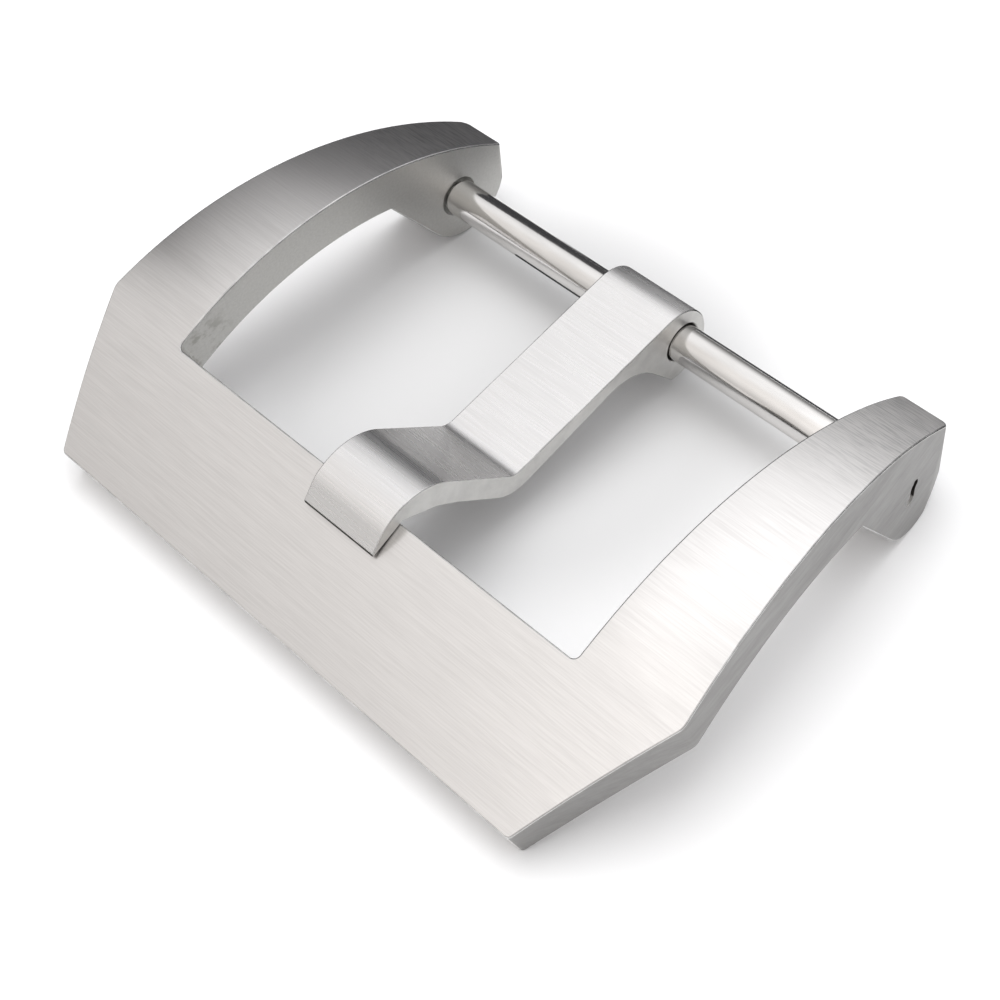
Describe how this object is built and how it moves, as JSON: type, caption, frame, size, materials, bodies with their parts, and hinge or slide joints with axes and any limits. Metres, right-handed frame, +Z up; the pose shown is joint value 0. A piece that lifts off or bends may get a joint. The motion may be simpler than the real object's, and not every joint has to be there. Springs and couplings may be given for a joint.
{
  "type": "watch tang buckle",
  "caption": "Curved steel tang buckle for a watch strap: arched frame with deep ears, a bent tongue swinging on a screwed tube bar.",
  "frame": {"origin": "middle of the bar's axis, halfway between the ears", "axes": "+X along the bar to the right-hand ear as seen from the front edge with the arch up, -Y to the plate's front edge, +Z up, out of the arch"},
  "size_m": [0.034, 0.0253, 0.0071],
  "materials": {
    "frame": "satin, brushed along the bar's direction",
    "tongue": "satin, brushed across its width",
    "bar_tube": "polished",
    "screws": "satin"
  },
  "bodies": {
    "frame": {"frame": "frame", "bar_tube": "bar_tube"},
    "tongue": {"tongue": "tongue"},
    "screw_left": {"screw_left": "screws"},
    "screw_right": {"screw_right": "screws"}
  },
  "joints": [
    {"name": "tongue_swing", "type": "hinge", "parent": "frame", "child": "tongue", "pos_m": [0, 0, 0], "axis": [-1, 0, 0], "range_deg": [0, 347.5]},
    {"name": "screw_left_out", "type": "slide", "parent": "frame", "child": "screw_left", "axis": [-1, 0, 0], "range_m": [0, 0.0032]},
    {"name": "screw_right_out", "type": "slide", "parent": "frame", "child": "screw_right", "axis": [1, 0, 0], "range_m": [0, 0.0032]}
  ]
}
